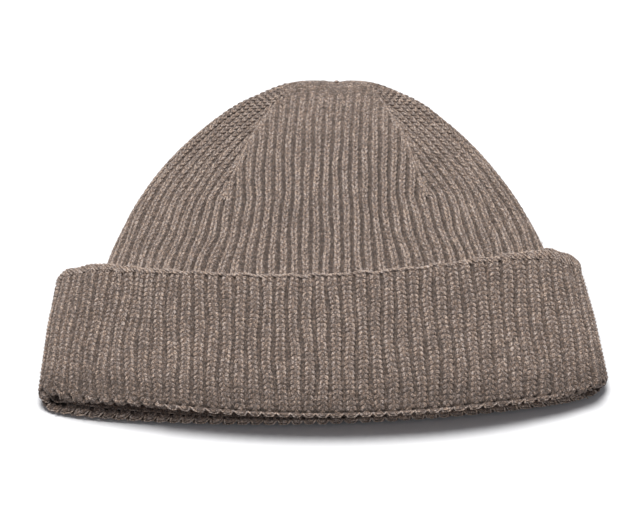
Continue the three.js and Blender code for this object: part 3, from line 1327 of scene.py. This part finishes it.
    def stitches(self) -> Stitches:
        """The two legs of every stitch on the ribs, and one of every stitch on the lines between the gores.

        Returns:
            The stitches.
        """
        laid = Stitches()
        half = FULL_GORE // 2
        places = self.ring_places(self.visible_from + 1, self.top_row, 1.0)
        rib, sign = np.array([(r, s) for r in range(-half, half + 1) for s in (-1, 1)], float).T
        stations, widths, lasts = [], [], np.zeros(len(rib), int)
        for index, along in enumerate(places):
            ribs = float(self.ribs(along))
            room = ribs / 2 - self.seam_room * self.seam.at(along)
            turn = round_gores(np.clip(rib + sign * self.side, -room, room) / ribs)
            depth = self.crest + self.strand - 0.2 + self.sinking.at(along)
            stations.append(Station.of(along, turn, depth))
            section = self.section(along)
            round_it = 2 * (section.left + section.right) + section.side * 0.57
            widths.append(round_it / (GORES * ribs))
            lasts = np.where(np.abs(rib) < ribs / 2 + 0.25, index, lasts)
        none = np.zeros(len(places))
        columns = self.columns_of(stations, np.tile(sign, GORES), np.array(widths), none)
        for column, last in enumerate(np.tile(lasts, GORES)):
            leg = self.leg if column // len(rib) % 2 else self.side_leg
            columns.stitch(column, slice(0, last), leg, None, laid)

        first = int(np.searchsorted(places, self.seam.start))
        lines = (np.arange(GORES) + 0.5) / GORES
        ridge = [
            Station.of(along, lines, self.crest + self.strand - 0.1 + 0.4 * self.sinking.at(along))
            for along in places[first:]
        ]
        seams = self.columns_of(ridge, np.zeros(GORES), np.full(len(ridge), 4.2), none[first:])
        for column in range(GORES):
            seams.stitch(column, slice(None), self.seam_leg, None, laid)
        self.knot(laid)
        return laid

    def knot(self, onto: Stitches) -> None:
        """Lays the yarn that is drawn through the last stitches and closes the top, in the dimple's middle.

        Args:
            onto: the stitches that it is added to.
        """
        # Painted highlight: the knot's tint lightens it where it sits in the dimple's shade.
        strands, off, size, tint = 5, 0.4, (0.9, 2.0, 1.3), 1.2
        turn = np.linspace(0.02, 0.48, 200)
        face = self.place(Station.of(self.form.length - 2.2, turn, 0.2))
        middle = face[np.argmin(np.abs(face[:, 0] - self.dimple * MM))]
        angle = np.arange(strands) * math.pi / strands
        run = np.column_stack([np.cos(angle), np.sin(angle) * 0.6, np.sin(angle) * 0.5])
        outward = np.tile(unit(np.array([0.0, 0.5, 1.0])), (strands, 1))
        onto.add(middle + run * off * MM, outward, run, np.array(size), tint)


@dataclass
class Cuff(Knit):
    """The turned-up cuff: its wall round the hem's fold and up its outer face, and the welt at its edge."""

    drifts: tuple[Drift, ...] = (Drift(turn=0.455, reach=0.07, shift=-0.009, along=71, fade=46),)
    groove: float = 1.7
    crest: float = 0.8
    fold_size: float = 5.9
    scallop: float = 1.3
    inside_to: float = 14.0
    side: float = 0.222
    leg: Leg = Leg(pitch=2.3, width=0.335, length=2.85, thickness=1.6, lean=-0.4)
    fold_leg: Leg = Leg(pitch=2.4, width=0.34, length=3.0, thickness=1.3, lean=-0.5, tint=-0.3)
    drop: float = 1.2
    crease: float = 0.6
    crease_turn: float = 0.12
    front_face: tuple[tuple[float, float], ...] = ((0.02, 0.07), (0.48, 0.43))
    lip: tuple[tuple[float, float], ...] = ((0.03, 0.06), (0.41, 0.36))
    rib_width: float = 5.75
    welt_by_turn: tuple[tuple[float, float, float], ...] = (
        (0.0, 7.0, -2.5),
        (0.04, 6.5, -1.0),
        (0.09, 3.0, 0.0),
        (0.16, 1.9, 0.0),
        (0.34, 1.8, 0.0),
        (0.4, 3.0, 0.0),
        (0.45, 4.8, 0.0),
        (0.52, 4.5, 0.0),
        (0.6, 2.5, 0.0),
        (0.92, 2.5, 0.0),
    )
    welt_profile: tuple[tuple[float, float, float], ...] = (
        (0.15, 0.45, 0.5),
        (0.35, 0.35, 0.3),
        (0.6, 0.3, 0.2),
        (0.85, 0.5, 0.1),
        (0.97, 1.0, 0.0),
        (1.0, 1.6, 0.0),
        (0.93, 2.2, 0.0),
        (0.7, 2.8, 0.0),
    )
    welt_lines: tuple[tuple, ...] = (
        (0.5, 0.95, (1.15, 2.9, 1.1), 0.25, 0.5),
        (1.3, 0.45, (0.9, 2.4, 0.8), 0.5, 0.2),
        *((below, 0.4, (0.95, 2.2, 0.8), 0.8, 0.2) for below in (2.3, 3.4, 4.5)),
        (5.6, 0.5, (0.95, 2.2, 0.8), 0.8, 0.2),
    )

    def section(self, level: float) -> Section:
        """The cuff's outer cross-section at a place along the hat."""
        return self.form.cuff_section(level)

    def front(self, turn: np.ndarray) -> np.ndarray:
        """How much each place belongs to the front face, which is 0 from the side folds on."""
        return part_of_turn(turn, *self.front_face)

    def creased(self, turn: np.ndarray) -> np.ndarray:
        """How strongly a crease sets off the hem's lip: not at all at the front's left end or at the back."""
        return part_of_turn(turn, *self.lip)

    def welt(self, turn: np.ndarray) -> tuple[np.ndarray, np.ndarray]:
        """The cuff's edge: how high its welt is, and where the edge lies.

        Args:
            turn: the shares of the way round.

        Returns:
            The welt's height and the edge's place along the hat.
        """
        at, height, dip = np.array(self.welt_by_turn).T
        waves = 0.35 * np.sin(2 * math.pi * 29 * turn) + 0.3 * np.sin(2 * math.pi * (47 * turn + 0.3))
        edge = self.form.cuff_height - 0.5 + np.interp(turn, at, dip, period=1) + waves
        return np.interp(turn, at, height, period=1), edge

    def lowered(self, along: np.ndarray, turn: np.ndarray) -> np.ndarray:
        """How much the front face sinks towards the hem."""
        return self.drop * self.front(turn) * eased(along, 17, 4)

    def face_rows(self, top: np.ndarray, count: int) -> list[tuple[float, float, np.ndarray]]:
        """Rows up the outer face, from the hem's fold to the welt.

        Args:
            top: where the face ends under the welt, for each place round the hat.
            count: how many rows there are, with the fold's own, which is left out.

        Returns:
            For each row its share of the way up, its level and its places along the hat.
        """
        radius = self.fold_size / 2
        middle = float(top.mean())
        return [
            (share, radius + (middle - radius) * share, radius + (top - radius) * share)
            for share in np.linspace(0, 1, count)[1:]
        ]

    def fold(self, step: float, turn: np.ndarray, sunk: float | np.ndarray) -> Station:
        """A row of places on the hem's fold.

        Args:
            step: from 1 at the hat's inside to 0 at the cuff's outer face.
            turn: the shares of the way round.
            sunk: how far under the crests the places lie.

        Returns:
            The station.
        """
        radius = self.fold_size / 2
        reach = radius - np.asarray(sunk, float)
        angle = step * math.pi
        depth = radius - reach * math.cos(angle)
        depth = depth + self.drop * self.front(turn) * max(0.0, math.cos(angle))
        return Station.of(radius, turn, depth, radius - reach * math.sin(angle))

    def shell(self) -> bpy.types.Object:
        """The cuff's wall as a closed skin.

        Returns:
            The finished piece.
        """
        phases = np.arange(FULL_GORE * self.columns) / self.columns - FULL_GORE / 2
        turn = round_gores(phases / FULL_GORE)
        phase = np.tile(phases, GORES)
        radius = self.fold_size / 2
        relief = rib_depth(phase, self.groove)
        skin = Skin("cuff_skin")

        def add(station: Station, sunk: np.ndarray | float) -> None:
            """Adds a ring.

            Args:
                station: its places.
                sunk: how deep in the knit they lie, from 0 to 1, which darkens the wool as painted shade.
            """
            yarn = np.column_stack([phase, station.along / 3.1, station.depth])
            # Painted shade: the wool darkens in the grooves and the crease, and more and more towards the
            # hem.
            shade = np.broadcast_to(sunk, turn.shape) + 0.35 * eased(station.along, 18, 2)
            skin.add(self.place(station), yarn, np.clip(shade, 0, 1))

        for step in np.linspace(1, 0, 25):
            share = math.sin(step * math.pi) ** 0.5 if step < 0.5 else 1 - (step - 0.5) * 1.2
            scallop = rib_depth(phase, self.scallop) * max(share, 0.4 if step > 0.5 else 0)
            off = (step - self.crease_turn) / 0.1
            crease = self.crease * self.creased(turn) * math.exp(-(off**2))
            face = scallop if step > 0.5 else scallop * share + relief * (1 - share)
            sunk = np.clip(self.crest + face + crease, 0, radius - 0.6)
            add(self.fold(step, turn, sunk), face / self.groove + crease)
        welt, edge = self.welt(turn)
        top = edge - welt
        for share, level, along in self.face_rows(top, 50):
            shallow = relief * (1 - 0.5 * float(eased(share, 0.92, 1)))
            depth = self.crest + shallow + self.lowered(along, turn)
            add(Station.of(level, turn, depth, along), 0.5 + 0.4 * shallow / self.groove)
        height = self.form.cuff_height
        for share, sunk, kept in self.welt_profile:
            along = edge - welt * (1 - share)
            add(Station.of(height - 1, turn, sunk + relief * kept, along), relief / self.groove * kept)
        for share in np.linspace(0, 1, 12):
            along = (edge - welt) * (1 - share) + radius * share
            level = (height - 1) * (1 - share) + radius * share
            add(Station.of(level, turn, self.form.wall, along), 0.5)
        return skin.build(looped=True)

    def stitches(self) -> Stitches:
        """The legs of the stitches on the ribs, the loops along the hem and the arches under the welt.

        Returns:
            The stitches.
        """
        laid = Stitches()
        radius = self.fold_size / 2
        ribs = np.arange(GORES * FULL_GORE)
        rib, sign = np.array([(r, s) for r in ribs for s in (-1, 1)], float).T
        turn = (rib + sign * self.side) / len(ribs)
        welt, edge = self.welt(turn)
        top = edge - welt - 0.3
        deep = self.crest + self.strand - 0.2

        inner = [
            Station.of(radius, turn, self.fold_size - deep, along)
            for along in np.linspace(self.inside_to, radius, 8)[:-1]
        ]
        turned = [self.fold(step, turn, deep) for step in np.linspace(1, 0, 21)]
        outer = [
            Station.of(level, turn, deep + self.lowered(along, turn), along)
            for _, level, along in self.face_rows(top, 60)
        ]
        places = inner + turned + outer
        start = len(inner) + len(turned) - 1
        # Painted shade: the legs darken towards the hem, and the fold's legs take the darkest value.
        painted_shades = np.array([-1.2 * float(eased(np.median(s.along), 22, 1)) for s in outer])
        painted_shades = np.r_[np.full(start + 1, painted_shades[0]), painted_shades]
        columns = self.columns_of(places, sign, np.full(len(places), self.rib_width), painted_shades)
        rows = round(float(np.median(top) - radius) / self.leg.pitch)
        for column, (share, way) in enumerate(zip(self.creased(turn), np.mod(turn, 1) < 0.5)):
            before, after = (13, 0) if way and share > 0.5 else (2, 3) if way else (14, 8)
            columns.stitch(column, slice(start - after, None), self.leg, rows, laid)
            columns.stitch(column, slice(0, start - before), self.fold_leg, None, laid)
        self.hem_loops(laid)
        self.arches(laid)
        return laid

    def hem_loops(self, onto: Stitches) -> None:
        """Lays the rim of each rib's end along the hem, as a loop that hangs from groove to groove, painted
        lighter as a highlight.

        Args:
            onto: the stitches that they are added to.
        """
        # Painted highlight: the loops' tint lightens the rim, where its fuzz catches the light.
        size, tint, lift = 0.8, 0.8, 0.4
        count = GORES * FULL_GORE
        ribs = np.arange(count)
        creased = ribs[self.creased(ribs / count) > 0.5]
        for chosen, way in ((creased, 1), (ribs[count // 2 :], -1)):
            spots, raised = [], []
            for across in np.linspace(-0.46, 0.46, 7):
                turn = (chosen + across) / count
                off = abs(2 * across)
                step = 0.5 + way * (0.13 - 0.56 * off**2.6)
                sunk = 0.4 + 1.1 * off**3
                spots.append(self.fold(step, turn, sunk))
                raised.append(self.fold(step, turn, sunk - lift))
            self.chain(spots, raised, size, tint, onto)

    def arches(self, onto: Stitches) -> None:
        """Lays the arch that closes each rib under the welt.

        Args:
            onto: the stitches that they are added to.
        """
        size, tint, lift, level = 0.95, 0.2, 0.4, self.form.cuff_height - 3
        ribs = np.arange(GORES * FULL_GORE)
        spots, raised = [], []
        for across in np.linspace(-0.36, 0.36, 5):
            turn = (ribs + across) / len(ribs)
            welt, edge = self.welt(turn)
            along = edge - welt + 0.4 - 1.6 * abs(2 * across) ** 2
            depth = self.crest + 0.15 + 0.6 * abs(2 * across) ** 2
            spots.append(Station.of(level, turn, depth, along))
            raised.append(Station.of(level, turn, depth - lift, along))
        self.chain(spots, raised, size, tint, onto)

    def welt_yarns(self) -> Stitches:
        """The yarn of the welt, in lines that run round the cuff's edge, more of them where it is higher.

        Returns:
            The stitches.
        """
        laid = Stitches()
        count = GORES * FULL_GORE * 3
        for line, (below, sunk, size, lean, tint) in enumerate(self.welt_lines):
            turn = (np.arange(count) + 0.5 * (line % 2)) / count
            welt, edge = self.welt(turn)
            turn, edge = turn[welt > below + 0.3], edge[welt > below + 0.3]
            station = Station.of(self.form.cuff_height - 1, turn, sunk, edge - below)
            place, around, upward = self.directions(station)
            around, upward = unit(around), unit(upward)
            run = unit(around * math.cos(lean) + upward * math.sin(lean))
            laid.add(place, unit(np.cross(upward, around)), run, np.array(size), tint)
        return laid


@dataclass(frozen=True)
class Studio:
    """A pale floor, soft light from above and a camera at the photograph's angle."""

    elevation: float = 48.0
    aim: tuple[float, float, float] = (-1.5, -9.9, 10.0)
    distance: float = 1044.3
    lens: float = 133.93
    sensor: float = 36.0
    sky: float = 0.185
    key_power: float = 31.0
    key_size: float = 0.85
    key_place: tuple[float, float, float] = (-0.08, 0.1, 1.6)
    sky_colour: tuple[float, float, float] = (0.94, 0.97, 1.06)
    floor_size: float = 6.0
    floor_drop: float = 0.0002
    floor_colour: tuple[float, float, float] = (0.93, 0.93, 0.935)

    def build(self) -> None:
        """Makes the floor, the lights and the camera."""
        self.floor()
        self.lights()
        self.camera()

    def floor(self) -> None:
        """A wide matt white floor just under the hat."""
        bpy.ops.mesh.primitive_plane_add(size=self.floor_size, location=(0, 0, -self.floor_drop))
        plane = bpy.context.object
        plane.name = "floor"
        white = bpy.data.materials.new("floor_white")
        white.use_nodes = True
        shader = white.node_tree.nodes["Principled BSDF"]
        shader.inputs["Base Color"].default_value = (*self.floor_colour, 1)
        shader.inputs["Roughness"].default_value = 0.9
        shader.inputs["Specular IOR Level"].default_value = 0.0
        plane.data.materials.append(white)

    def lights(self) -> None:
        """An even white surround and one large soft light above and a little behind."""
        world = bpy.data.worlds.new("studio")
        world.use_nodes = True
        surround = world.node_tree.nodes["Background"]
        surround.inputs["Color"].default_value = (*self.sky_colour, 1)
        surround.inputs["Strength"].default_value = self.sky
        bpy.context.scene.world = world
        light = bpy.data.lights.new("key", "AREA")
        light.shape, light.size, light.energy = "DISK", self.key_size, self.key_power
        key = linked("key", light)
        key.location = self.key_place
        key.rotation_mode = "QUATERNION"
        key.rotation_quaternion = (-Vector(self.key_place)).to_track_quat("-Z", "Y")

    def camera(self) -> None:
        """The camera, as far and as high as the photograph's was."""
        angle = math.radians(self.elevation)
        aim = Vector(self.aim) * MM
        back = Vector((0, -math.cos(angle), math.sin(angle)))
        data = bpy.data.cameras.new("camera")
        data.lens, data.sensor_width = self.lens, self.sensor
        data.clip_start, data.clip_end = 0.05, 20
        camera = linked("camera", data)
        camera.location = aim + back * self.distance * MM
        camera.rotation_mode = "QUATERNION"
        camera.rotation_quaternion = (-back).to_track_quat("-Z", "Y")
        bpy.context.scene.camera = camera


def main() -> None:
    """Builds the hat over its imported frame, dresses it, and reports each piece."""
    logging.basicConfig(level=logging.INFO, format="%(message)s")
    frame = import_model()
    log.info("frame nodes: %s", sorted(frame["nodes"]))

    Studio().build()
    bpy.context.scene.view_settings.view_transform = "Standard"

    wool = WoolFinish(
        "taupe_wool",
        deep=(0.06, 0.044, 0.036),
        dark=(0.135, 0.1, 0.083),
        middle=(0.262, 0.196, 0.162),
        light=(0.68, 0.55, 0.465),
    )
    yarn = wool.material()
    ground = replace(wool, name="taupe_wool_ground", bump=0.8).material()

    form = HatForm()
    crown, cuff = Crown(form), Cuff(form)
    layer = GrainLayer()
    leg, plain_leg, fibre = YarnGrain().build(), YarnGrain(sides=5, rings=4).build(), Fibre().build()
    pieces = []
    for builder, node, levels in (
        (crown, "crown", crown.ring_places(72, 201, 2.0)),
        (cuff, "cuff", np.arange(4.0, 70.0, 2.0)),
    ):
        skin = builder.shell()
        skin.data.materials.append(ground)
        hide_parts(node)
        stitches = builder.stitches()
        pieces.append(skin)
        for face, grain in ((Face.UPPER, leg), (Face.LOWER, plain_leg)):
            points = stitches.points_object(f"{node}_points", face)
            pieces.append(layer.dress(points, grain, f"{node}_stitches_{face.value}", yarn, STITCH_SEED))
        fuzz = builder.fuzz(levels, FUZZ_DENSITY, FUZZ_SEED)
        points = fuzz.points_object(f"{node}_fuzz_points", None)
        pieces.append(layer.dress(points, fibre, f"{node}_fuzz", yarn, FIBRE_SEED))
    points = cuff.welt_yarns().points_object("welt_points", None)
    pieces.append(layer.dress(points, leg, "welt_yarns", yarn, WELT_SEED))
    for shape in (leg, plain_leg, fibre):
        bpy.data.objects.remove(shape)

    for piece in pieces:
        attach(piece, BODY)
        piece.data.calc_loop_triangles()
        log.info("%s: %d triangles", piece.name, len(piece.data.loop_triangles))
    log.info("triangles in all: %d", sum(len(piece.data.loop_triangles) for piece in pieces))


if __name__ == "__main__":
    main()
